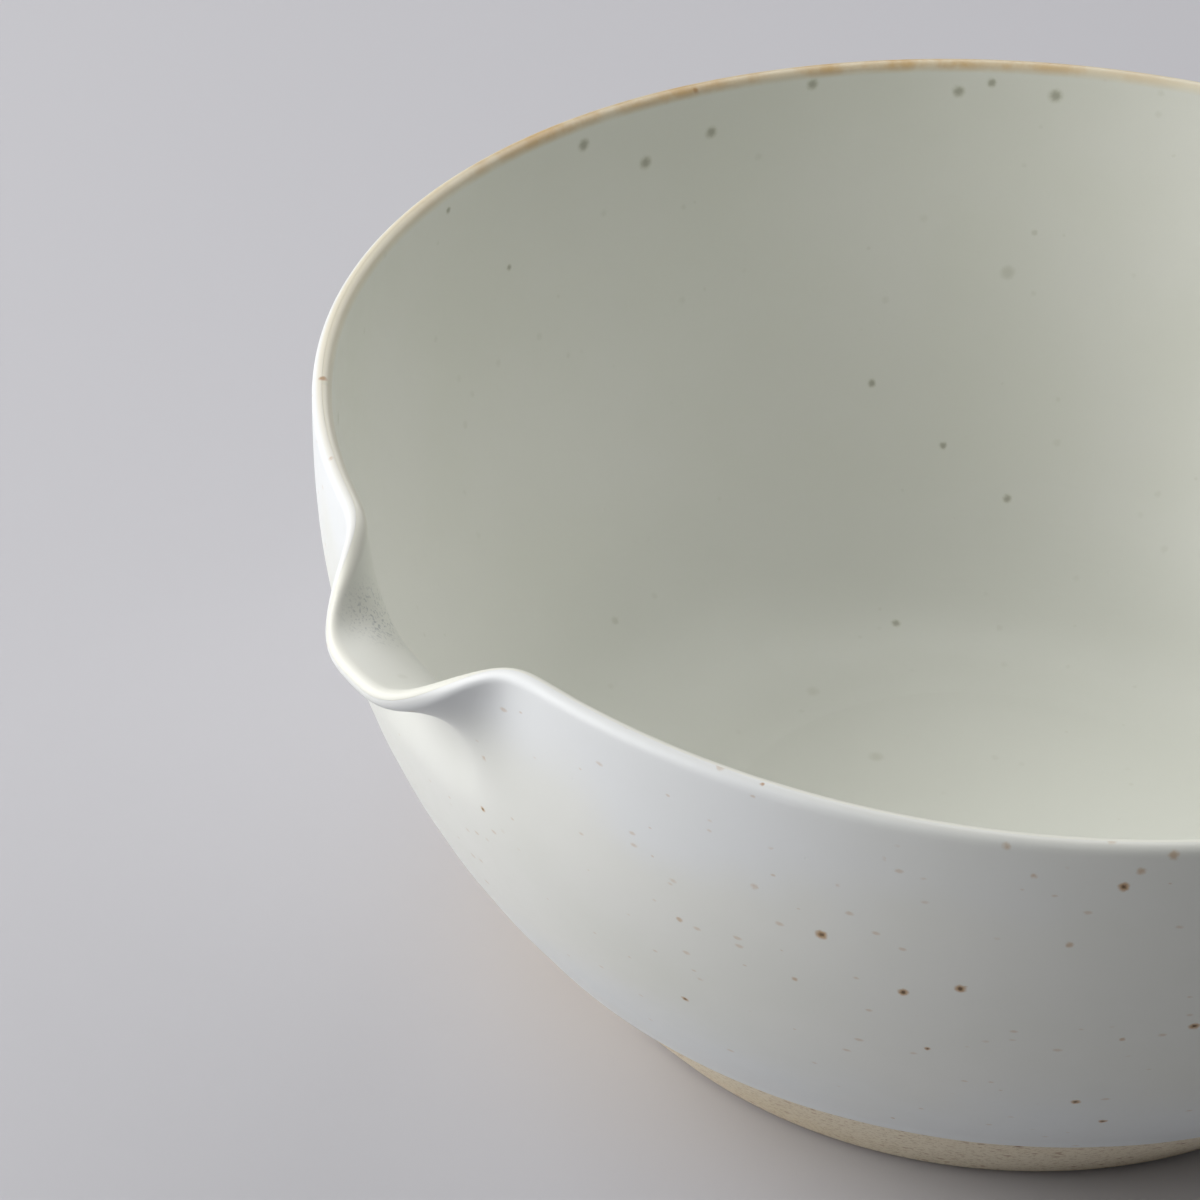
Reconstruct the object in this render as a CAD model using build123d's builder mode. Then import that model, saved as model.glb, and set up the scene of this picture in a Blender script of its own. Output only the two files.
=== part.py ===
# A thrown stoneware pouring bowl: a fired clay body, a liner glaze poured inside
# and an outer glaze that stops above the bare, trimmed foot.
# Millimetres, +Z up, origin on the bowl's axis in the plane that it stands on.
# The pulled lip points along -Y.
import os
from math import asin, cos, degrees, exp, radians, sin, sqrt, tan

from build123d import *

# Bowl, measured on the glazed surface
height = 110.0            # standing plane to the top of the rim
rim_radius = 125.0        # outside of the rim
rim_thickness = 3.4
outer_arc = 133.0         # radius of the outside wall's curve, upright at the rim
inner_arc = 124.5         # radius of the inside wall's curve, upright at the rim
floor_height = 9.5        # inside floor above the standing plane
floor_bend = 58.0         # radius between the inside wall and the floor

# Trimmed foot, left unglazed
bare_height = 25.0        # height of the unglazed band
foot_width = 9.0          # width of the ring that the bowl stands on
foot_bevel = 1.6          # width of the bevel at the ring's outer corner
foot_bevel_rise = 1.2     # height of that bevel
recess_depth = 3.5        # hollow under the floor
recess_bend = 1.5         # rounding at the top of the hollow
recess_flare = 0.8        # how far the hollow's cutter flares below the ring

# Glaze
glaze_thickness = 0.35
glaze_edge = 1.2          # height of the rounded edge at the glaze line
glaze_seam = 0.02         # hairline where the two glazes meet on the rim

# Pulled lip
lip_reach = 11.7          # how far the lip's crest is drawn outwards
lip_dip = 10.4            # how far it is drawn down
lip_half_angle = 8.3      # half the sector that it takes up, in degrees
lip_squareness = 3.4      # 2 gives a bell-shaped crest, higher a flatter one
lip_tilt = 78.0           # lean of the lip from upright, in degrees
lip_handle = 20.0         # length of the curve's handle behind the crest
throat_handle = 12.0      # and of the one below it, where the wall turns out into the lip
pinch_depth = 1.9         # how far the rim is drawn in beside the lip
pinch_half_angle = 38.0   # half the sector of the drawn-in rim, in degrees
spout_depth = 36.0        # how far below the rim the pull reaches

# Sections of the drawn wall, closest together at the lip
spout_azimuth = -90.0
sections_each_side = 12
section_spacing = 2.1     # between the sections at the lip, in degrees
drawn_sector = 2.2 * pinch_half_angle

# The sections stop short of the axis, and a disc closes the middle of the floor
hub_radius = 30.0
hub_overlap = 1.0

crest_height = height - rim_thickness / 2
join_height = height - spout_depth
outer_centre = rim_radius - outer_arc
inner_centre = rim_radius - rim_thickness - inner_arc
bend_height = floor_height + floor_bend
bend_drop = crest_height - bend_height
bend_centre = inner_centre + sqrt((inner_arc - floor_bend) ** 2 - bend_drop**2)
bend_angle = degrees(asin(bend_drop / (inner_arc - floor_bend)))
seam_angle = degrees(glaze_seam / rim_thickness)


def outer_radius(z, skin=0.0):
    """Radius of the outside wall at height z, skin below the glazed surface."""
    return outer_centre + sqrt((outer_arc - skin) ** 2 - (crest_height - z) ** 2)


def inner_radius(z, skin=0.0):
    """Radius of the inside wall at height z, skin below the glazed surface."""
    return inner_centre + sqrt((inner_arc + skin) ** 2 - (crest_height - z) ** 2)


bare_top = outer_radius(bare_height, glaze_thickness)
trim_slope = (crest_height - bare_height) / (bare_top - outer_centre)
foot_radius = bare_top - bare_height * trim_slope
recess_radius = foot_radius - foot_width


def meridian(angle):
    """Upright plane through the axis: x runs outwards and y runs up."""
    turn = radians(spout_azimuth + angle)
    return Plane(
        origin=(0, 0, 0),
        x_dir=(cos(turn), sin(turn), 0),
        z_dir=(sin(turn), -cos(turn), 0),
    )


def lower_outside(skin, low):
    """Outside of the wall below the pull, down to the height low."""
    middle = (join_height + low) / 2
    ThreePointArc(
        (outer_radius(join_height, skin), join_height),
        (outer_radius(middle, skin), middle),
        (outer_radius(low, skin), low),
    )


def lower_inside(skin):
    """Inside of the wall below the pull, round to the flat of the floor."""
    join_angle = degrees(asin((crest_height - join_height) / (inner_arc + skin)))
    CenterArc(
        (inner_centre, crest_height),
        inner_arc + skin,
        -join_angle,
        join_angle - bend_angle,
    )
    CenterArc((bend_centre, bend_height), floor_bend + skin, -bend_angle, bend_angle - 90)
    Line((bend_centre, floor_height - skin), (hub_radius, floor_height - skin))


def drawn_side(angle, side, skin, over):
    """One side of the wall above the join, and on over the rim.

    side is 1 outside and -1 inside, skin is the depth below the glazed surface,
    and over is how many degrees of the rim's rounding belong to this side.
    """
    lean = abs(angle) / lip_half_angle
    spread = abs(angle) / pinch_half_angle
    pull = exp(-(lean**lip_squareness))
    pinch = exp(-(spread**2))
    tilt = radians(lip_tilt * pull)
    along = Vector(sin(tilt), cos(tilt))
    across = Vector(cos(tilt), -sin(tilt)) * side
    centre = Vector(
        rim_radius - rim_thickness / 2 + lip_reach * pull - pinch_depth * pinch,
        crest_height - lip_dip * pull,
    )
    # The crest's move per radian: where it runs aslant to the meridian plane,
    # the section is widened so that the wall keeps its real thickness
    pull_slope = -pull * lip_squareness * lean ** (lip_squareness - 1) / radians(lip_half_angle)
    pinch_slope = -2 * pinch * spread / radians(pinch_half_angle)
    move = Vector(lip_reach * pull_slope - pinch_depth * pinch_slope, -lip_dip * pull_slope)
    slant = sqrt(1 + (move.dot(across) / centre.X) ** 2)
    half = rim_thickness / 2 - skin
    shoulder = centre + across * (half * slant)
    radius = outer_arc - skin if side > 0 else inner_arc + skin
    reach = outer_radius if side > 0 else inner_radius
    start = Vector(reach(join_height, skin), join_height)
    turn = asin((crest_height - join_height) / radius)
    upwards = Vector(sin(turn), cos(turn))
    # The handles differ by side, so that both follow the same bend of the wall
    bend_gain = side * half * tan(tilt / 2)
    handle = 4 / 3 * tan(turn / 4) * radius
    low_handle = handle + (throat_handle - handle) * pull - bend_gain
    top_handle = handle + (lip_handle - handle) * pull - bend_gain
    Bezier(start, start + upwards * low_handle, shoulder - along * top_handle, shoulder)
    if over == 0:
        return shoulder
    rim = EllipticalCenterArc(
        centre,
        half * slant,
        half,
        start_angle=0 if side > 0 else 180 - over,
        arc_size=over,
        rotation=-degrees(tilt),
    )
    return rim @ (1 if side > 0 else 0)


def body_section(angle):
    """Clay in the meridian plane at this angle, out from the hub."""
    with BuildSketch(meridian(angle)) as section:
        with BuildLine():
            lower_inside(glaze_thickness)
            drawn_side(angle, -1, glaze_thickness, 0)
            drawn_side(angle, 1, glaze_thickness, 180)
            lower_outside(glaze_thickness, bare_height)
            Polyline(
                (bare_top, bare_height),
                (foot_radius + foot_bevel_rise * trim_slope, foot_bevel_rise),
                (foot_radius - foot_bevel, 0),
                (hub_radius, 0),
                (hub_radius, floor_height - glaze_thickness),
            )
        make_face()
    return section.sketch.face()


def liner_section(angle):
    """Liner glaze in the meridian plane at this angle, out from the hub."""
    with BuildSketch(meridian(angle)) as section:
        with BuildLine():
            lower_inside(0.0)
            lower_inside(glaze_thickness)
            face_top = drawn_side(angle, -1, 0.0, 90 - seam_angle)
            back_top = drawn_side(angle, -1, glaze_thickness, 90 - seam_angle)
            Line(face_top, back_top)
            Line((hub_radius, floor_height), (hub_radius, floor_height - glaze_thickness))
        make_face()
    return section.sketch.face()


def outer_section(angle):
    """Outer glaze in the meridian plane at this angle, with its rounded low edge."""
    edge_top = bare_height + glaze_edge
    with BuildSketch(meridian(angle)) as section:
        with BuildLine():
            lower_outside(0.0, edge_top)
            Bezier(
                (outer_radius(edge_top), edge_top),
                (outer_radius(bare_height), bare_height),
                (bare_top, bare_height),
            )
            lower_outside(glaze_thickness, bare_height)
            face_top = drawn_side(angle, 1, 0.0, 90 - seam_angle)
            back_top = drawn_side(angle, 1, glaze_thickness, 90 - seam_angle)
            Line(face_top, back_top)
        make_face()
    return section.sketch.face()


def drawn_sections(section):
    """Sections of the drawn wall, from one end of its sector to the other."""
    widening = drawn_sector - section_spacing * sections_each_side
    reach = [
        section_spacing * k + widening * (k / sections_each_side) ** 3
        for k in range(1, sections_each_side + 1)
    ]
    return [section(angle) for angle in [-a for a in reversed(reach)] + [0.0] + reach]


rest_of_turn = 360 - 2 * drawn_sector

with BuildPart() as stoneware_body:
    body_sections = drawn_sections(body_section)
    loft(body_sections)
    revolve(body_sections[-1], axis=Axis.Z, revolution_arc=rest_of_turn)
    with BuildSketch(Plane.XY):
        Circle(hub_radius + hub_overlap)
    extrude(amount=floor_height - glaze_thickness)
    with BuildSketch(Plane.XZ) as recess:
        with BuildLine():
            Polyline(
                (0, recess_depth),
                (recess_radius, recess_depth),
                (recess_radius, 0),
                (recess_radius + recess_flare, -recess_flare),
                (0, -recess_flare),
                close=True,
            )
        make_face()
        corners = recess.vertices().group_by(Axis.Y)
        fillet(corners[-1].sort_by(Axis.X)[-1], recess_bend)
    revolve(axis=Axis.Z, mode=Mode.SUBTRACT)

with BuildPart() as liner_glaze:
    liner_sections = drawn_sections(liner_section)
    loft(liner_sections)
    revolve(liner_sections[-1], axis=Axis.Z, revolution_arc=rest_of_turn)
    with BuildSketch(Plane.XY.offset(floor_height - glaze_thickness)):
        Circle(hub_radius + hub_overlap)
    extrude(amount=glaze_thickness)

with BuildPart() as outer_glaze:
    outer_sections = drawn_sections(outer_section)
    loft(outer_sections)
    revolve(outer_sections[-1], axis=Axis.Z, revolution_arc=rest_of_turn)

stoneware_body.part.label = "stoneware_body"
liner_glaze.part.label = "liner_glaze"
outer_glaze.part.label = "outer_glaze"

os.makedirs("parts", exist_ok=True)
export_step(stoneware_body.part, "parts/stoneware_body.step")
export_step(liner_glaze.part, "parts/liner_glaze.step")
export_step(outer_glaze.part, "parts/outer_glaze.step")
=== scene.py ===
import math

import bpy
import numpy as np
from mathutils import Matrix, Vector


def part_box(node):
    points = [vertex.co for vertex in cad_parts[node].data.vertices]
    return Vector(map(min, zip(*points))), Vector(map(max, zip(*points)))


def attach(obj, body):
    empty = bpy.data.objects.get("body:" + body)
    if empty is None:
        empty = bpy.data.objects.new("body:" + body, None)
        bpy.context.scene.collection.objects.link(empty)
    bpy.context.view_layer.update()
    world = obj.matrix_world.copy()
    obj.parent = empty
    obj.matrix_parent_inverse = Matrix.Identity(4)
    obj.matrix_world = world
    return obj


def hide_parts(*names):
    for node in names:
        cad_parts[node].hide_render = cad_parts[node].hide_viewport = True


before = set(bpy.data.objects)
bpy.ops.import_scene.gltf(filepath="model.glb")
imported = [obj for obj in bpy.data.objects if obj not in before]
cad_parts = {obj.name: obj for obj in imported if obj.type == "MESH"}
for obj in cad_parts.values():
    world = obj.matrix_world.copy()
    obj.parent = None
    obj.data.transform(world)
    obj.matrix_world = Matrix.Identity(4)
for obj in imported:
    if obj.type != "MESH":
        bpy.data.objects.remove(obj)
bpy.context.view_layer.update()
print("frame loaded:", sorted(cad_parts))

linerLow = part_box("liner_glaze")[0]
outerLow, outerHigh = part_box("outer_glaze")
glazeThickness = 0.00035

# the thrown form, in metres and degrees; the rim and the heights come from the frame
form = {
    "height": round(outerHigh.z, 3),
    "rimRadius": round(outerHigh.y, 3),
    "glazeLine": outerLow.z,
    "floorHeight": linerLow.z + glazeThickness,
    "rimThickness": 0.0034,
    "outerArc": 0.133,
    "innerArc": 0.1245,
    "floorBend": 0.058,
    "glazeSeam": 0.00002,       # gap between the two glazes on top of the rim
    "spoutDepth": 0.036,
    "spoutAzimuth": -90.0,
}

mesh = {
    "segments": 480,            # round the whole bowl
    "wedges": 8,                # equal parts, each copied from the first
    "crowding": 0.4,            # share of even spacing left at the lip
    "wallRings": 52,
    "outsideRings": 40,
    "insideRings": 64,
    "rimRings": 12,
    "backRings": 10,
    "trimRings": 24,
    "cornerRings": 5,
    "recessRings": 30,
    "lineBend": 1.8,            # draws the rings together at the glaze line
    "rimBend": 1.7,             # and on top of the rim
    "slopeStep": 0.01,          # share of the wall over which its slope is taken
    "sharpAngle": 40.0,
}

samePlace = 1e-6        # metres: vertices closer than this are one
farAway = 0.1           # metres: past the reach of all that fades out from an edge
toMillimetres = 1000

crestHeight = form["height"] - form["rimThickness"] / 2
joinHeight = form["height"] - form["spoutDepth"]
outerCentre = form["rimRadius"] - form["outerArc"]
innerCentre = form["rimRadius"] - form["rimThickness"] - form["innerArc"]
bendHeight = form["floorHeight"] + form["floorBend"]
bendDrop = crestHeight - bendHeight
bendReach = form["innerArc"] - form["floorBend"]
bendCentre = innerCentre + math.sqrt(bendReach ** 2 - bendDrop ** 2)
bendAngle = math.asin(bendDrop / bendReach)
joinAngle = math.asin((crestHeight - joinHeight) / form["innerArc"])
bendLength = form["floorBend"] * (math.pi / 2 - bendAngle)
lowLength = {       # of the section below the drawn wall, outside and inside
    1: joinHeight - form["glazeLine"],
    -1: bendCentre + bendLength + form["innerArc"] * (bendAngle - joinAngle),
}
rimTurn = form["rimThickness"] / 2 * math.pi / 2     # length of a quarter of the rim's rounding

# the lower edge of the outside glaze, in metres
glazeEdge = {
    "height": 0.0012,           # of the rounding itself
    "bead": 0.00012,
    "beadHeight": 0.0017,
    "beadSpread": 0.0011,
    "wander": 0.00022,
    "waves": [(0.9, 3, 1.0), (0.6, 7, 2.2), (0.4, 19, 0.4), (0.3, 41, 0.0)],     # share, count, shift
    "settling": 4,              # power by which the wander dies out up the wall
}


def lineWander(angle):
    # how far the glaze line strays from level, round the bowl
    turn = np.radians(angle)
    waves = [share * np.sin(count * turn + shift) for share, count, shift in glazeEdge["waves"]]
    return glazeEdge["wander"] * sum(waves)


def lowerOutside(angle, skin, share):
    rise = lowLength[1] * share
    z = form["glazeLine"] + rise + lineWander(angle) * (1 - share) ** glazeEdge["settling"]
    if skin == 0.0:     # the glaze thins to a rounded edge with a low bead above it
        left = max(0.0, 1 - rise / glazeEdge["height"])
        swell = math.exp(-((rise - glazeEdge["beadHeight"]) / glazeEdge["beadSpread"]) ** 2)
        skin = glazeThickness * (1 - math.sqrt(1 - left ** 2)) - glazeEdge["bead"] * swell
    return outerCentre + np.sqrt((form["outerArc"] - skin) ** 2 - (crestHeight - z) ** 2), z


def lowerInside(angle, skin, share):
    # flat of the floor, the bend, then the wall up to the join
    arc, bend = form["innerArc"] + skin, form["floorBend"] + skin
    joinTurn = math.asin((crestHeight - joinHeight) / arc)
    lengths = bendCentre, bend * (math.pi / 2 - bendAngle), arc * (bendAngle - joinTurn)
    along = share * sum(lengths)
    if along < lengths[0]:
        r, z = along, form["floorHeight"] - skin
    elif along < lengths[0] + lengths[1]:
        turn = math.pi / 2 - (along - lengths[0]) / bend
        r, z = bendCentre + bend * math.cos(turn), bendHeight - bend * math.sin(turn)
    else:
        turn = bendAngle - (along - lengths[0] - lengths[1]) / arc
        r, z = innerCentre + arc * math.cos(turn), crestHeight - arc * math.sin(turn)
    return np.full_like(angle, r), np.full_like(angle, z)


# the pulled lip, in metres and in degrees from its middle
lip = {
    "reach": 0.0117,
    "dip": 0.0104,
    "halfAngle": 8.3,
    "squareness": 3.4,
    "tilt": 78.0,
    "handle": 0.020,
    "throatHandle": 0.012,      # lengths of the handles that bend the lip's section
    "pinchDepth": 0.0019,       # the rim drawn in on both sides of the lip
    "pinchHalfAngle": 38.0,
}


def drawnWall(angle, side, skin, share):
    # share runs 0 to 1 from the join to the rim's side, and 1 to 2 over to its top
    lean = np.abs(angle) / lip["halfAngle"]
    spread = np.abs(angle) / lip["pinchHalfAngle"]
    pull = np.exp(-lean ** lip["squareness"])
    pinch = np.exp(-spread ** 2)
    tilt = np.radians(lip["tilt"]) * pull
    along = np.array([np.sin(tilt), np.cos(tilt)])
    across = np.array([np.cos(tilt), -np.sin(tilt)]) * side
    centre = np.array([form["rimRadius"] - form["rimThickness"] / 2
                       + lip["reach"] * pull - lip["pinchDepth"] * pinch,
                       crestHeight - lip["dip"] * pull])
    # the wall keeps its thickness where it runs aslant to the meridian
    pullSlope = -pull * lip["squareness"] * lean ** (lip["squareness"] - 1) / math.radians(lip["halfAngle"])
    pinchSlope = -2 * pinch * spread / math.radians(lip["pinchHalfAngle"])
    move = np.array([lip["reach"] * pullSlope - lip["pinchDepth"] * pinchSlope, -lip["dip"] * pullSlope])
    slant = np.sqrt(1 + ((move * across).sum(0) / centre[0]) ** 2)
    half = form["rimThickness"] / 2 - skin
    shoulder = centre + across * half * slant
    if share > 1:
        turn = min(share - 1, 1 - form["glazeSeam"] / form["rimThickness"]) * math.pi / 2
        return centre + across * half * slant * math.cos(turn) + along * half * math.sin(turn)
    arc = form["outerArc"] - skin if side > 0 else form["innerArc"] + skin
    middle = outerCentre if side > 0 else innerCentre
    turn = math.asin((crestHeight - joinHeight) / arc)
    start = np.array([[middle + arc * math.cos(turn)], [joinHeight]])
    upwards = np.array([[math.sin(turn)], [math.cos(turn)]])
    handle = 4 / 3 * math.tan(turn / 4) * arc       # the curve's handle that makes it a true arc
    bendGain = side * half * np.tan(tilt / 2)
    lowHandle = handle + (lip["throatHandle"] - handle) * pull - bendGain
    topHandle = handle + (lip["handle"] - handle) * pull - bendGain
    low, high, left = start + upwards * lowHandle, shoulder - along * topHandle, 1 - share
    return (start * left ** 3 + low * 3 * left ** 2 * share
            + high * 3 * left * share ** 2 + shoulder * share ** 3)


def wallPoints(angle, part, side, skin, share):
    if part == "drawn":
        return drawnWall(angle, side, skin, share)
    return lowerOutside(angle, skin, share) if side > 0 else lowerInside(angle, skin, share)


# the rings left by throwing, in metres
throwing = {
    "spacing": {1: 0.0088, -1: 0.0112},         # outside and inside
    "height": {1: 0.000035, -1: 0.00005},
    "stray": 0.8,               # radians by which a ring leaves its even spiral
    "strayLength": 0.017,
    "swing": 0.38,              # share of the height that comes and goes
    "swingLength": 0.021,
    "swingShift": 1.3,
    "footFade": 0.012,
    "rimFade": 0.022,
}


def throwingRings(angle, side, part, share):
    # how far the potter's fingers left the wall above or below its plain curve
    turn = np.radians(angle)
    reach = lowLength[side] * share if part == "low" else lowLength[side] + form["spoutDepth"] * share
    stray = throwing["stray"] * np.sin(2 * turn + reach / throwing["strayLength"])
    phase = 2 * math.pi * reach / throwing["spacing"][side] - turn + stray
    swing = np.sin(reach / throwing["swingLength"] + throwing["swingShift"] * side + np.sin(turn))
    swing = 1 - throwing["swing"] + throwing["swing"] * swing
    left = lowLength[side] + form["spoutDepth"] - reach
    fade = np.clip(left / throwing["rimFade"], 0, 1) ** 2 * np.clip(reach / throwing["footFade"], 0, 1)
    return throwing["height"][side] * fade * swing * np.sin(phase)


def ringPlaces(station, angle):
    # station is (part, side, skin, share), or ("foot", r, z, 0) for a point of the bare foot
    part, side, skin, share = station
    if part == "foot":
        return np.full_like(angle, side), np.full_like(angle, skin)
    r, z = wallPoints(angle, part, side, skin, share)
    if share > 1:
        return r, z
    nearby = max(share - mesh["slopeStep"], 0.0), min(share + mesh["slopeStep"], 1.0)
    before, after = (wallPoints(angle, part, side, glazeThickness, near) for near in nearby)
    slope = np.array(after) - np.array(before)
    slope /= np.hypot(*slope)
    swell = throwingRings(angle, side, part, share)
    return r + side * slope[1] * swell, z - side * slope[0] * swell


def rimGap(station):
    # length along the section from the top of the rim
    part, side, skin, share = station
    if part != "drawn":
        return farAway
    return rimTurn * (2 - share) if share > 1 else rimTurn + form["spoutDepth"] * (1 - share)


def steps(part, side, skin, first, last, count, bend=1.0):
    return [(part, side, skin, first + (last - first) * (k / count) ** bend) for k in range(count + 1)]


def drawnFace(side, skin, rings):
    # up the drawn wall and over to the top of the rim, closest together at the top
    wall = steps("drawn", side, skin, 0, 1, rings)[1:]
    over = steps("drawn", side, skin, 2, 1, mesh["rimRings"], mesh["rimBend"])[:-1]
    return wall + over[::-1]


def softCorner(before, corner, after, radius):
    # a rounded corner between two straight runs of the section
    here = Vector(corner)
    start = here + (Vector(before) - here).normalized() * radius
    end = here + (Vector(after) - here).normalized() * radius
    shares = [k / mesh["cornerRings"] for k in range(mesh["cornerRings"] + 1)]
    return [start * (1 - s) ** 2 + here * 2 * s * (1 - s) + end * s ** 2 for s in shares]


# the trimmed foot, in metres
foot = {
    "width": 0.009,
    "bevel": 0.0016,
    "bevelRise": 0.0012,
    "recessDepth": 0.0035,
    "recessBend": 0.0015,
    "softness": 0.0007,         # rounding of the sponged corners
    "markSpacing": 0.0021,
    "markHeight": 0.00003,
    "markedShare": 0.95,        # of the trimmed side, from the glaze line down
    "recessMarks": 26,          # crests and dips from the recess's edge to its middle
}


def footStations():
    line = form["glazeLine"]
    bareTop = outerCentre + math.sqrt((form["outerArc"] - glazeThickness) ** 2 - (crestHeight - line) ** 2)
    trimSlope = (crestHeight - line) / (bareTop - outerCentre)
    footRadius = bareTop - line * trimSlope
    recess = footRadius - foot["width"]
    top = Vector((bareTop, line))
    bevelTop = Vector((footRadius + foot["bevelRise"] * trimSlope, foot["bevelRise"]))
    bevelLow = Vector((footRadius - foot["bevel"], 0))
    ringInside, hollow = Vector((recess, 0)), Vector((recess, foot["recessDepth"]))
    middle = Vector((0, foot["recessDepth"]))
    away = Vector((line - foot["bevelRise"], bevelTop.x - bareTop)).normalized()
    path = []
    for k in range(1, mesh["trimRings"]):       # turning marks of the trimming tool
        share = k / mesh["trimRings"]
        mark = foot["markHeight"] * math.sin(share * line / foot["markSpacing"] * 2 * math.pi)
        onSide = top.lerp(bevelTop, share * foot["markedShare"])
        path.append(onSide + away * mark * math.sin(share * math.pi))
    path += softCorner(top, bevelTop, bevelLow, foot["softness"])
    path += softCorner(bevelTop, bevelLow, ringInside, foot["softness"])
    path += softCorner(bevelLow, ringInside, hollow, foot["softness"])
    path += softCorner(ringInside, hollow, middle, foot["recessBend"])
    bendEnd = hollow.lerp(middle, foot["recessBend"] / recess)
    for k in range(1, mesh["recessRings"] + 1):
        share = k / mesh["recessRings"]
        mark = foot["markHeight"] * math.sin(share * foot["recessMarks"] * math.pi)
        path.append(bendEnd.lerp(middle, share) + Vector((0, mark * math.sin(share * math.pi))))
    return [("foot", r, z, 0) for r, z in path]


def turnOnWheel(name, stations):
    # the section is drawn point by point, then spun round the axis
    bpy.ops.object.select_all(action="DESELECT")
    oppositeLip = np.array([180.0])
    points = [np.array(ringPlaces(station, oppositeLip))[:, 0] for station in stations]
    closed = points[0][0] > samePlace
    bpy.ops.mesh.primitive_plane_add(location=(0, 0, 0))
    piece = bpy.context.object
    piece.name = name
    bpy.ops.object.mode_set(mode="EDIT")
    bpy.ops.mesh.select_all(action="SELECT")
    bpy.ops.mesh.merge(type="CENTER")
    bpy.ops.transform.translate(value=(points[0][0], 0, points[0][1]))
    for here, there in zip(points, points[1:]):
        bpy.ops.mesh.extrude_region_move(
            TRANSFORM_OT_translate={"value": (there[0] - here[0], 0, there[1] - here[1])})
    bpy.ops.mesh.select_all(action="SELECT")
    if closed:
        bpy.ops.mesh.edge_face_add()
        bpy.ops.mesh.delete(type="ONLY_FACE")
        bpy.ops.mesh.select_all(action="SELECT")
    wedge, axis = 2 * math.pi / mesh["wedges"], {"center": (0, 0, 0), "axis": (0, 0, 1)}
    bpy.ops.mesh.spin(steps=mesh["segments"] // mesh["wedges"], angle=wedge, **axis)
    bpy.ops.mesh.select_all(action="SELECT")
    bpy.ops.mesh.spin(steps=mesh["wedges"] - 1, dupli=True, angle=2 * math.pi - wedge, **axis)
    bpy.ops.mesh.select_all(action="SELECT")
    bpy.ops.mesh.remove_doubles(threshold=samePlace)
    bpy.ops.mesh.normals_make_consistent(inside=False)
    bpy.ops.object.mode_set(mode="OBJECT")
    pullLip(piece, stations, points)
    bpy.ops.object.shade_smooth_by_angle(angle=math.radians(mesh["sharpAngle"]))
    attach(piece, "root")
    print(name, "turned:", len(piece.data.polygons), "faces")
    return piece


def pullLip(piece, stations, points):
    # each ring of the turned wall is moved to its place, round the pulled lip
    places = np.empty(len(piece.data.vertices) * 3)
    piece.data.vertices.foreach_get("co", places)
    places = places.reshape(-1, 3)
    radius, height = np.hypot(places[:, 0], places[:, 1]), places[:, 2].copy()
    share = np.degrees(np.arctan2(places[:, 1], places[:, 0])) - form["spoutAzimuth"]
    share = ((share + 180) % 360 - 180) / 180
    angle = 180 * share * (mesh["crowding"] + (1 - mesh["crowding"]) * share ** 2)
    turn = np.radians(angle + form["spoutAzimuth"])
    gaps = {name: np.full(len(places), farAway * toMillimetres) for name in ("rimGap", "lineGap")}
    placed = radius < samePlace
    for station, (plainRadius, plainHeight) in zip(stations, points):
        here = np.hypot(radius - plainRadius, height - plainHeight) < 2 * samePlace
        here &= ~placed
        placed |= here
        r, z = ringPlaces(station, angle[here])
        places[here] = np.stack([r * np.cos(turn[here]), r * np.sin(turn[here]), z], axis=1)
        gaps["rimGap"][here] = rimGap(station) * toMillimetres
        gaps["lineGap"][here] = (z - form["glazeLine"] - lineWander(angle[here])) * toMillimetres
    piece.data.vertices.foreach_set("co", places.ravel())
    for name, values in gaps.items():
        piece.data.attributes.new(name, "FLOAT", "POINT").data.foreach_set("value", values)
    piece.data.update()


def wholeWall(side, skin, lowRings, drawnRings, bend=1.0):
    return steps("low", side, skin, 0, 1, lowRings, bend) + drawnFace(side, skin, drawnRings)


def buildBody():
    rings = mesh["backRings"] * 2
    inside, outside = (wholeWall(side, glazeThickness, rings, rings) for side in (-1, 1))
    piece = turnOnWheel("stonewareBody", inside + outside[::-1] + footStations())
    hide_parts("stoneware_body")
    return piece


def buildLiner():
    face = wholeWall(-1, 0.0, mesh["insideRings"], mesh["wallRings"])
    back = wholeWall(-1, glazeThickness, mesh["backRings"], mesh["backRings"] * 2)
    piece = turnOnWheel("linerGlaze", face + back[::-1])
    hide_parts("liner_glaze")
    return piece


def buildOuterGlaze():
    face = wholeWall(1, 0.0, mesh["outsideRings"], mesh["wallRings"], mesh["lineBend"])
    back = wholeWall(1, glazeThickness, mesh["backRings"], mesh["backRings"] * 2, mesh["lineBend"])
    # both run out at the glaze line, so the back's ring there is left out
    piece = turnOnWheel("outerGlaze", face + back[:0:-1])
    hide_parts("outer_glaze")
    return piece


def node(tree, kind, inputs=None, **settings):
    made = tree.nodes.new(kind)
    for key, value in settings.items():
        setattr(made, key, value)
    for key, value in (inputs or {}).items():
        fill(tree, made.inputs[key], value)
    return made


def fill(tree, socket, value):
    if isinstance(value, bpy.types.NodeSocket):
        tree.links.new(value, socket)
    else:
        socket.default_value = value


def calc(tree, operation, a, b):
    return node(tree, "ShaderNodeMath", {0: a, 1: b}, operation=operation).outputs[0]


def times(tree, a, b):
    return calc(tree, "MULTIPLY", a, b)


def vectorCalc(tree, operation, a, b):
    return node(tree, "ShaderNodeVectorMath", {0: a, 1: b}, operation=operation).outputs


def axes(tree, vector):
    return node(tree, "ShaderNodeSeparateXYZ", {0: vector}).outputs


def fade(tree, value, start, end, low=0.0, high=1.0):
    inputs = {"Value": value, "From Min": start, "From Max": end, "To Min": low, "To Max": high}
    return node(tree, "ShaderNodeMapRange", inputs, interpolation_type="SMOOTHSTEP").outputs["Result"]


def tint(tree, amount, below, above):
    below, above = ((*c, 1) if isinstance(c, tuple) else c for c in (below, above))
    return node(tree, "ShaderNodeMix", {0: amount, 6: below, 7: above}, data_type="RGBA").outputs[2]


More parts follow.
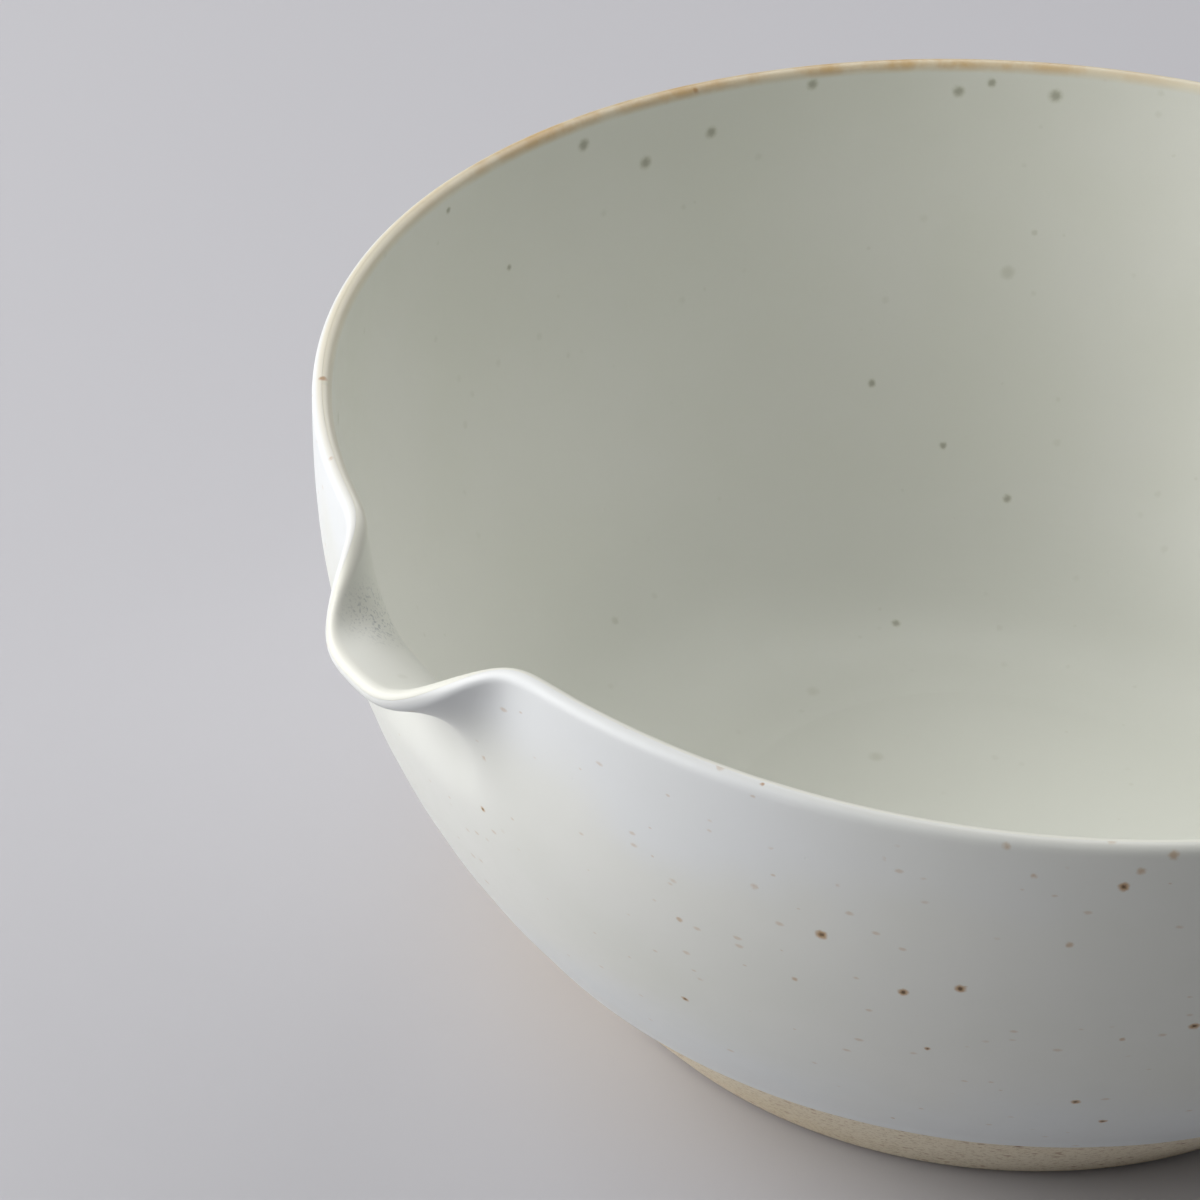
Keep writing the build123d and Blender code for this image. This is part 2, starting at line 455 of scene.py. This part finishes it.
def noise(tree, vector, scale, detail=2.0, roughness=0.5):
    inputs = {"Vector": vector, "Scale": scale, "Detail": detail, "Roughness": roughness}
    return node(tree, "ShaderNodeTexNoise", inputs).outputs


def attribute(tree, name):
    return node(tree, "ShaderNodeAttribute", attribute_name=name).outputs["Fac"]


def newGroup(name, inputs, outputs):
    tree = bpy.data.node_groups.new(name, "ShaderNodeTree")
    kinds = {"v": "NodeSocketVector", "f": "NodeSocketFloat"}
    for label, kind in inputs.items():
        tree.interface.new_socket(name=label, in_out="INPUT", socket_type=kinds[kind])
    for label, kind in outputs.items():
        tree.interface.new_socket(name=label, in_out="OUTPUT", socket_type=kinds[kind])
    start, end = tree.nodes.new("NodeGroupInput"), tree.nodes.new("NodeGroupOutput")
    return tree, start.outputs, end.inputs


def placeGroup(tree, group, **inputs):
    made = tree.nodes.new("ShaderNodeGroup")
    made.node_tree = group
    for key, value in inputs.items():
        fill(tree, made.inputs[key], value)
    return made.outputs


def frayed(tree, vector, scale, amount):
    # the place, pushed about a little so that round edges come out uneven
    push = vectorCalc(tree, "SUBTRACT", noise(tree, vector, scale)["Color"], (0.5, 0.5, 0.5))[0]
    push = node(tree, "ShaderNodeVectorMath", {0: push, "Scale": amount}, operation="SCALE").outputs[0]
    return vectorCalc(tree, "ADD", vector, push)[0]


freckles = {
    "fraying": (900.0, 0.0005),         # waves per metre, and metres of push
    "sizes": (0.45, 1.2),
    "core": (0.3, 0.75),                # where it starts and ends to fade, in freckle sizes
    "halo": (0.5, 1.7),
}


def buildFreckles():
    # iron freckles: Cells per metre, the Share of cells that hold one, Size in cells
    tree, given, out = newGroup("ironFreckles", {"Vector": "v", "Cells": "f", "Share": "f", "Size": "f"},
                                {"Core": "f", "Halo": "f"})
    inputs = {"Vector": frayed(tree, given["Vector"], *freckles["fraying"]), "Scale": given["Cells"]}
    cells = node(tree, "ShaderNodeTexVoronoi", inputs).outputs
    draw = node(tree, "ShaderNodeSeparateColor", {0: cells["Color"]}).outputs
    kept = calc(tree, "LESS_THAN", draw[0], given["Share"])
    size = times(tree, given["Size"], fade(tree, draw[1], 0.0, 1.0, *freckles["sizes"]))
    reach = calc(tree, "DIVIDE", cells["Distance"], size)
    for label in ("Core", "Halo"):
        mask = fade(tree, reach, *freckles[label.lower()], 1.0, 0.0)
        tree.links.new(times(tree, mask, kept), out[label])
    return tree


kilnClouds = {
    "drift": (22.0, 3.0, 0.5),          # waves per metre, detail and roughness
    "mottle": (170.0, 3.0, 0.6),
    "span": (0.3, 0.7),
}


def buildKilnClouds():
    # soft drifts in the glaze, large and small, from 0 to 1
    tree, given, out = newGroup("kilnClouds", {"Vector": "v"}, {"Drift": "f", "Mottle": "f"})
    for label in ("Drift", "Mottle"):
        cloud = noise(tree, given["Vector"], *kilnClouds[label.lower()])["Fac"]
        tree.links.new(fade(tree, cloud, *kilnClouds["span"]), out[label])
    return tree


satinSkin = {
    "ripple": (260.0, 2.0),             # waves per metre and detail
    "fine": (1100.0, 1.0),
    "fineHeight": 0.16,                 # against the ripple's
    "pinholes": 130.0,                  # cells per metre, one in each
    "pinholeSize": 0.05,                # in cells
    "depth": 0.0001,
}


def buildSatinSkin():
    # the faint ripple of a fired glaze, with a few pinholes
    tree, given, out = newGroup("satinSkin", {"Vector": "v", "Ripple": "f", "Pits": "f"}, {"Normal": "v"})
    ripple = noise(tree, given["Vector"], *satinSkin["ripple"])["Fac"]
    fine = times(tree, noise(tree, given["Vector"], *satinSkin["fine"])["Fac"], satinSkin["fineHeight"])
    height = times(tree, calc(tree, "ADD", ripple, fine), given["Ripple"])
    cells = {"Vector": given["Vector"], "Scale": satinSkin["pinholes"]}
    away = node(tree, "ShaderNodeTexVoronoi", cells).outputs["Distance"]
    pit = fade(tree, away, 0.0, satinSkin["pinholeSize"], 1.0, 0.0)
    height = calc(tree, "SUBTRACT", height, times(tree, pit, given["Pits"]))
    inputs = {"Strength": 1.0, "Distance": satinSkin["depth"], "Height": height}
    tree.links.new(node(tree, "ShaderNodeBump", inputs).outputs[0], out["Normal"])
    return tree


toasting = {
    "side": -100,                       # degrees round from the lip, where it is strongest
    "solidShare": 0.35,
    "patches": (90.0, 4.0, 0.62),
    "patchSpan": (0.36, 0.64, 0.3, 1.0),
    "toastSpan": (0.084, 0.118),        # metres from the middle towards the strong side
    "creamSpan": (-0.03, 0.09, 0.08, 1.0),
    "flecks": {"Cells": 270.0, "Share": 0.15, "Size": 0.15},
    "cream": (0.80, 0.73, 0.55),
    "toast": (0.63, 0.42, 0.18),
    "fleck": (0.44, 0.22, 0.075),
    "creamCover": 0.85,
    "toastCover": 0.9,
    "fleckCover": 0.75,
    "outerReach": 1.5,                  # millimetres down from the top of the rim
    "innerReach": 3.2,
}


def buildToastedRim():
    # the rim's edge, where the glaze runs thin and the iron comes through, most at one side
    tree, given, out = newGroup("toastedRim", {"Vector": "v", "Gap": "f", "Reach": "f"},
                                {"Toast": "f", "Cream": "f", "Fleck": "f"})
    turn = math.radians(toasting["side"] + form["spoutAzimuth"])
    side = math.cos(turn), math.sin(turn), 0.0
    facing = vectorCalc(tree, "DOT_PRODUCT", given["Vector"], side)["Value"]
    solid = times(tree, given["Reach"], toasting["solidShare"])
    edge = fade(tree, given["Gap"], solid, given["Reach"], 1.0, 0.0)
    patches = noise(tree, given["Vector"], *toasting["patches"])["Fac"]
    strong = times(tree, edge, fade(tree, facing, *toasting["toastSpan"]))
    toast = times(tree, strong, fade(tree, patches, *toasting["patchSpan"]))
    cream = times(tree, edge, fade(tree, facing, *toasting["creamSpan"]))
    ironFreckles = bpy.data.node_groups["ironFreckles"]
    flecks = placeGroup(tree, ironFreckles, Vector=given["Vector"], **toasting["flecks"])
    tree.links.new(toast, out["Toast"])
    tree.links.new(cream, out["Cream"])
    tree.links.new(times(tree, flecks["Halo"], edge), out["Fleck"])
    return tree


def toastRim(tree, groups, place, color, reach):
    masks = placeGroup(tree, groups["toastedRim"], Vector=place, Gap=attribute(tree, "rimGap"), Reach=reach)
    for label in ("Cream", "Toast", "Fleck"):
        look = label.lower()
        color = tint(tree, times(tree, masks[label], toasting[look + "Cover"]), color, toasting[look])
    return color


def newFinish(name):
    material = bpy.data.materials.new(name)
    material.use_nodes = True
    tree = material.node_tree
    place = tree.nodes.new("ShaderNodeTexCoord").outputs["Object"]
    return material, tree, tree.nodes["Principled BSDF"], place


def finish(tree, shader, color, roughness, normal):
    tree.links.new(color, shader.inputs["Base Color"])
    tree.links.new(roughness, shader.inputs["Roughness"])
    tree.links.new(normal, shader.inputs["Normal"])


def spotPlace(degrees, height, side):
    # a place on the round wall, from degrees round the bowl from the lip and millimetres up
    z = height / toMillimetres
    arc = form["outerArc"] if side > 0 else form["innerArc"]
    middle = outerCentre if side > 0 else innerCentre
    r = middle + math.sqrt(arc ** 2 - (crestHeight - z) ** 2)
    if side < 0 and z < bendHeight - form["floorBend"] * math.sin(bendAngle):
        r = bendCentre + math.sqrt(max(form["floorBend"] ** 2 - (bendHeight - z) ** 2, 0))
    turn = math.radians(degrees + form["spoutAzimuth"])
    return Vector((r * math.cos(turn), r * math.sin(turn), z))


spotFraying = 1300.0, 0.0006        # waves per metre, and metres of push


def placedSpots(tree, vector, spots, side):
    # distance to the nearest of the listed spots, over that spot's radius
    uneven = frayed(tree, vector, *spotFraying)
    nearest = None
    for degrees, height, width in spots:
        gap = vectorCalc(tree, "DISTANCE", uneven, spotPlace(degrees, height, side))["Value"]
        gap = times(tree, gap, 2 * toMillimetres / width)
        nearest = gap if nearest is None else calc(tree, "MINIMUM", nearest, gap)
    return nearest


outerFinish = {
    "color": (0.775, 0.785, 0.73),
    "drift": (0.81, 0.815, 0.775),
    "zoneFraying": (26.0, 0.045),
    "low": (0.79, 0.82, 0.83),          # thicker, cooler glaze above the foot
    "lowSpan": (0.030, 0.062, 0.9, 0.0),
    "band": (0.82, 0.85, 0.86),         # and the thickest of it at the glaze line
    "bandStart": (0.3, 1.1),            # millimetres above the line
    "bandEnd": (2.4, 4.8, 0.8, 0.0),
    "top": (0.81, 0.83, 0.845),         # cool glaze under the rim on the lip's side
    "topRise": (0.086, 0.101),
    "topSide": (-0.115, -0.06, 0.85, 0.1),
    "fine": {"Cells": 330.0, "Share": 0.16, "Size": 0.16},
    "fineFlatness": (1.0, 1.0, 1.7),
    "fineCover": 0.34,
    "few": {"Cells": 95.0, "Share": 0.16, "Size": 0.075},
    "fewHalo": 0.5,
    "fewCore": 0.55,
    "spotCore": (0.10, 0.05, 0.02),
    "spotHalo": (0.50, 0.30, 0.12),
    "tanSpan": (0.3, 1.2, 0.6, 0.0),
    "haloSpan": (0.6, 1.45, 0.85, 0.0),
    "coreSpan": (0.2, 0.75, 1.0, 0.0),
    "coreCover": 0.9,
    "coreRoughness": 0.2,
    "roughness": (0.34, 0.44),
    "skin": {"Ripple": 0.30, "Pits": 0.5},
    # degrees from the lip, height and width in millimetres
    "spots": [(9, 90, 1.3), (8, 78, 1.0), (38, 85, 1.7), (48, 79, 1.6), (44, 76, 1.5), (26, 56, 1.1),
              (58, 103, 1.6), (65, 72, 1.5), (58, 49, 1.4), (61, 41, 1.3), (46, 62, 0.9), (110, 84, 1.6),
              (152, 66, 1.4), (-170, 92, 1.5), (-128, 58, 1.3), (-96, 80, 1.6), (-60, 70, 1.2)],
    "tanSpots": [(33, 91, 1.5), (59, 106, 1.6), (50, 109, 1.7), (61, 109, 1.9), (55, 91, 1.4),
                 (52, 104, 1.2), (39, 96, 1.2), (42, 103, 1.3), (27, 92, 1.1), (27, 78, 1.2),
                 (36, 73, 1.2), (60, 69, 1.1), (43, 33, 1.0), (95, 100, 1.5), (140, 88, 1.6),
                 (-150, 74, 1.5), (-75, 98, 1.4), (-35, 86, 1.3)],
}


def outerGlazeFinish(groups):
    look = outerFinish
    material, tree, shader, place = newFinish("outerGlaze")
    clouds = placeGroup(tree, groups["kilnClouds"], Vector=place)
    color = tint(tree, clouds["Drift"], look["color"], look["drift"])
    # where the glaze lies thicker it turns cooler: low on the wall, at its edge and under the rim
    strayed = axes(tree, frayed(tree, place, *look["zoneFraying"]))
    color = tint(tree, fade(tree, strayed[2], *look["lowSpan"]), color, look["low"])
    top = times(tree, fade(tree, strayed[2], *look["topRise"]), fade(tree, strayed[1], *look["topSide"]))
    color = tint(tree, top, color, look["top"])
    above = attribute(tree, "lineGap")
    band = times(tree, fade(tree, above, *look["bandStart"]), fade(tree, above, *look["bandEnd"]))
    color = tint(tree, band, color, look["band"])
    color = toastRim(tree, groups, place, color, toasting["outerReach"])
    flat = node(tree, "ShaderNodeMapping", {"Vector": place, "Scale": look["fineFlatness"]}).outputs[0]
    fine = placeGroup(tree, groups["ironFreckles"], Vector=flat, **look["fine"])
    few = placeGroup(tree, groups["ironFreckles"], Vector=place, **look["few"])
    color = tint(tree, times(tree, fine["Halo"], look["fineCover"]), color, look["spotHalo"])
    color = tint(tree, times(tree, few["Halo"], look["fewHalo"]), color, look["spotHalo"])
    color = tint(tree, times(tree, few["Core"], look["fewCore"]), color, look["spotCore"])
    tan = placedSpots(tree, place, look["tanSpots"], 1)
    color = tint(tree, fade(tree, tan, *look["tanSpan"]), color, look["spotHalo"])
    dark = placedSpots(tree, place, look["spots"], 1)
    color = tint(tree, fade(tree, dark, *look["haloSpan"]), color, look["spotHalo"])
    core = fade(tree, dark, *look["coreSpan"])
    color = tint(tree, times(tree, core, look["coreCover"]), color, look["spotCore"])
    roughness = fade(tree, clouds["Mottle"], 0.0, 1.0, *look["roughness"])
    roughness = calc(tree, "ADD", roughness, times(tree, core, look["coreRoughness"]))
    normal = placeGroup(tree, groups["satinSkin"], Vector=place, **look["skin"])["Normal"]
    finish(tree, shader, color, roughness, normal)
    return material


linerFinish = {
    "color": (0.815, 0.82, 0.745),
    "drift": (0.84, 0.84, 0.78),
    "pool": (0.775, 0.785, 0.71),
    "poolSpan": (0.012, 0.045, 0.8, 0.0),
    "paintedSheen": (0.83, 0.87, 0.85),         # painted sheen: a bluish-white tint on one side of the inside wall, standing in for the lamps' reflection
    "sheenSide": (0.62, 0.78, 0.0),
    "sheenSpan": (0.045, 0.115, 0.0, 0.85),
    "few": {"Cells": 85.0, "Share": 0.22, "Size": 0.09},
    "fewCover": 0.55,
    "fine": {"Cells": 260.0, "Share": 0.12, "Size": 0.15},
    "fineCover": 0.22,
    "spotCore": (0.42, 0.42, 0.33),
    "spotHalo": (0.60, 0.60, 0.50),
    "haloSpan": (0.5, 1.3, 0.75, 0.0),
    "coreSpan": (0.2, 0.9, 0.8, 0.0),
    "smudge": (0.42, 0.44, 0.43),       # fine dark specks gathered inside the lip
    "smudgePlace": (-0.0135, -0.1250, 0.0955),
    "smudgeSpan": (0.003, 0.010, 0.7, 0.0),
    "dust": (1900.0, 2.0, 0.6),
    "dustSpan": (0.5, 0.68),
    "roughness": (0.30, 0.40),
    "skin": {"Ripple": 0.30, "Pits": 0.3},
    # degrees from the lip, height and width in millimetres
    "spots": [(-82, 105, 2.9), (-89, 97, 2.9), (-96, 100, 2.7), (-106, 107, 2.6), (-120, 104, 2.7),
              (-123, 106, 2.1), (-129, 104, 3.0), (-112, 47, 1.8), (-120, 36, 1.7), (-128, 28, 1.9),
              (-111, 13, 2.0), (-64, 106, 1.6), (-72, 87, 1.4), (30, 70, 1.8), (75, 88, 1.6),
              (120, 60, 2.0), (160, 95, 1.6)],
}


def linerGlazeFinish(groups):
    look = linerFinish
    material, tree, shader, place = newFinish("linerGlaze")
    clouds = placeGroup(tree, groups["kilnClouds"], Vector=place)
    color = tint(tree, clouds["Drift"], look["color"], look["drift"])
    color = tint(tree, fade(tree, axes(tree, place)[2], *look["poolSpan"]), color, look["pool"])
    # painted sheen: the inside wall turns bluish-white towards one side, where the lamps' reflection shows
    across = vectorCalc(tree, "DOT_PRODUCT", place, look["sheenSide"])["Value"]
    color = tint(tree, fade(tree, across, *look["sheenSpan"]), color, look["paintedSheen"])
    color = toastRim(tree, groups, place, color, toasting["innerReach"])
    few = placeGroup(tree, groups["ironFreckles"], Vector=place, **look["few"])
    fine = placeGroup(tree, groups["ironFreckles"], Vector=place, **look["fine"])
    color = tint(tree, times(tree, fine["Halo"], look["fineCover"]), color, look["spotHalo"])
    color = tint(tree, times(tree, few["Halo"], look["fewCover"]), color, look["spotHalo"])
    dark = placedSpots(tree, place, look["spots"], -1)
    color = tint(tree, fade(tree, dark, *look["haloSpan"]), color, look["spotHalo"])
    color = tint(tree, fade(tree, dark, *look["coreSpan"]), color, look["spotCore"])
    away = vectorCalc(tree, "DISTANCE", place, look["smudgePlace"])["Value"]
    dust = fade(tree, noise(tree, place, *look["dust"])["Fac"], *look["dustSpan"])
    dust = times(tree, dust, fade(tree, away, *look["smudgeSpan"]))
    color = tint(tree, dust, color, look["smudge"])
    roughness = fade(tree, clouds["Mottle"], 0.0, 1.0, *look["roughness"])
    normal = placeGroup(tree, groups["satinSkin"], Vector=place, **look["skin"])["Normal"]
    finish(tree, shader, color, roughness, normal)
    return material


clayFinish = {
    "color": (0.81, 0.70, 0.515),
    "pale": (0.86, 0.775, 0.615),
    "grain": (0.50, 0.385, 0.24),
    "sand": (1150.0, 3.0, 0.75),
    "paleSpan": (0.5, 0.62, 0.0, 0.6),
    "grainSpan": (0.38, 0.48, 0.6, 0.0),
    "flash": (0.48, 0.28, 0.13),        # where the clay toasted beside the glaze
    "flashSpan": (-0.9, -0.15),         # millimetres above the glaze line
    "uneven": (420.0, 3.0),
    "unevenSpan": (0.3, 0.6, 0.3, 0.95),
    "footEdgeSpan": (0.0004, 0.0016, 0.6, 0.0),
    "rust": (0.36, 0.17, 0.07),
    "rustSpecks": {"Cells": 480.0, "Share": 0.45, "Size": 0.22},
    "rustCover": 0.55,
    "grit": (0.13, 0.075, 0.045),
    "gritSpecks": {"Cells": 210.0, "Share": 0.26, "Size": 0.13},
    "gritHalo": 0.7,
    "gritCover": 0.8,
    "gritHeight": 0.8,
    "sandSpan": (0.3, 0.7),
    "roughness": (0.80, 0.94),
    "bump": {"Strength": 0.8, "Distance": 0.00012},
}


def bareClayFinish(groups):
    look = clayFinish
    material, tree, shader, place = newFinish("bareClay")
    clouds = placeGroup(tree, groups["kilnClouds"], Vector=place)
    color = tint(tree, clouds["Drift"], look["color"], look["pale"])
    sand = noise(tree, place, *look["sand"])["Fac"]
    color = tint(tree, fade(tree, sand, *look["paleSpan"]), color, look["pale"])
    color = tint(tree, fade(tree, sand, *look["grainSpan"]), color, look["grain"])
    uneven = fade(tree, noise(tree, place, *look["uneven"])["Fac"], *look["unevenSpan"])
    flash = times(tree, fade(tree, attribute(tree, "lineGap"), *look["flashSpan"]), uneven)
    color = tint(tree, flash, color, look["flash"])
    # the clay turns towards the flash colour over its lowest millimetre or two, where it meets the floor
    color = tint(tree, fade(tree, axes(tree, place)[2], *look["footEdgeSpan"]), color, look["flash"])
    rust = placeGroup(tree, groups["ironFreckles"], Vector=place, **look["rustSpecks"])
    grit = placeGroup(tree, groups["ironFreckles"], Vector=place, **look["gritSpecks"])
    color = tint(tree, times(tree, rust["Halo"], look["rustCover"]), color, look["rust"])
    color = tint(tree, times(tree, grit["Halo"], look["gritHalo"]), color, look["rust"])
    color = tint(tree, times(tree, grit["Core"], look["gritCover"]), color, look["grit"])
    roughness = fade(tree, sand, *look["sandSpan"], *look["roughness"])
    grain = calc(tree, "ADD", sand, times(tree, grit["Core"], look["gritHeight"]))
    bump = node(tree, "ShaderNodeBump", {**look["bump"], "Height": grain})
    finish(tree, shader, color, roughness, bump.outputs[0])
    return material


studio = {
    "floorSize": 6.0,
    "floorColor": (0.565, 0.56, 0.59),
    "bounceColor": (0.54, 0.535, 0.55),     # what the floor throws back on the bowl
    "floorRoughness": 0.9,
    "aim": (0.0, 0.0, 0.06),
}

# degrees round the bowl from the X axis and above level, metres away and across, and watts
lamps = {
    "lowWindow": {"azimuth": -120, "elevation": 18, "distance": 1.6, "size": 1.7, "power": 26.0},
    "nearWindow": {"azimuth": -115, "elevation": 40, "distance": 1.6, "size": 1.7, "power": 9.5},
    "farWindow": {"azimuth": -148, "elevation": 38, "distance": 1.6, "size": 1.7, "power": 6.0},
    "sideWall": {"azimuth": 42, "elevation": 40, "distance": 1.8, "size": 1.6, "power": 4.8},
    "backWall": {"azimuth": 120, "elevation": 45, "distance": 1.8, "size": 1.6, "power": 14.0},
}


def outward(degreesRound, degreesUp):
    # direction from the bowl, one metre long
    azimuth, elevation = math.radians(degreesRound), math.radians(degreesUp)
    return Vector((math.cos(azimuth) * math.cos(elevation),
                   math.sin(azimuth) * math.cos(elevation), math.sin(elevation)))


def buildFloor():
    bpy.ops.object.select_all(action="DESELECT")
    bpy.ops.mesh.primitive_plane_add(size=studio["floorSize"], location=(0, 0, 0))
    floor = bpy.context.object
    floor.name = "floor"
    material = bpy.data.materials.new("paleFloor")
    material.use_nodes = True
    tree = material.node_tree
    shader = tree.nodes["Principled BSDF"]
    rays = tree.nodes.new("ShaderNodeLightPath").outputs
    seen = calc(tree, "MAXIMUM", rays["Is Camera Ray"], rays["Is Glossy Ray"])
    seen = calc(tree, "MAXIMUM", seen, rays["Is Transmission Ray"])
    tree.links.new(tint(tree, seen, studio["bounceColor"], studio["floorColor"]), shader.inputs["Base Color"])
    shader.inputs["Roughness"].default_value = studio["floorRoughness"]
    floor.data.materials.append(material)
    print("floor built")


def buildLights():
    world = bpy.data.worlds.new("darkRoom")
    bpy.context.scene.world = world
    world.use_nodes = True
    world.node_tree.nodes["Background"].inputs["Strength"].default_value = 0.0
    for name, lamp in lamps.items():
        out = outward(lamp["azimuth"], lamp["elevation"])
        bpy.ops.object.light_add(type="AREA", location=Vector(studio["aim"]) + out * lamp["distance"])
        light = bpy.context.object
        light.name = name
        light.data.shape = "SQUARE"
        light.data.size = lamp["size"]
        light.data.energy = lamp["power"]
        light.rotation_euler = (-out).to_track_quat("-Z", "Y").to_euler()
    print("lights built")


view = {
    "distance": 0.649,      # from the middle of the rim
    "azimuth": -41.0,
    "elevation": 31.15,
    "heading": 146.65,      # way that it faces, in degrees round from the X axis
    "tilt": 34.8,           # below level
    "roll": 2.16,
    "lens": 113.7,
    "sensor": 36.0,
}


def placeCamera():
    place = Vector((0, 0, form["height"])) + outward(view["azimuth"], view["elevation"]) * view["distance"]
    turn = (Matrix.Rotation(math.radians(view["heading"] - 90), 4, "Z")
            @ Matrix.Rotation(math.radians(90 - view["tilt"]), 4, "X")
            @ Matrix.Rotation(math.radians(view["roll"]), 4, "Z"))
    data = bpy.data.cameras.new("camera")
    data.lens = view["lens"]
    data.sensor_width = view["sensor"]
    camera = bpy.data.objects.new("camera", data)
    camera.matrix_world = Matrix.Translation(place) @ turn
    bpy.context.scene.collection.objects.link(camera)
    bpy.context.scene.camera = camera
    print("camera placed")


body = buildBody()
liner = buildLiner()
outer = buildOuterGlaze()

groups = {"kilnClouds": buildKilnClouds(), "satinSkin": buildSatinSkin(), "ironFreckles": buildFreckles()}
groups["toastedRim"] = buildToastedRim()
body.data.materials.append(bareClayFinish(groups))
liner.data.materials.append(linerGlazeFinish(groups))
outer.data.materials.append(outerGlazeFinish(groups))
print("finishes built")

buildFloor()
buildLights()
placeCamera()
bpy.context.scene.view_settings.view_transform = "Standard"
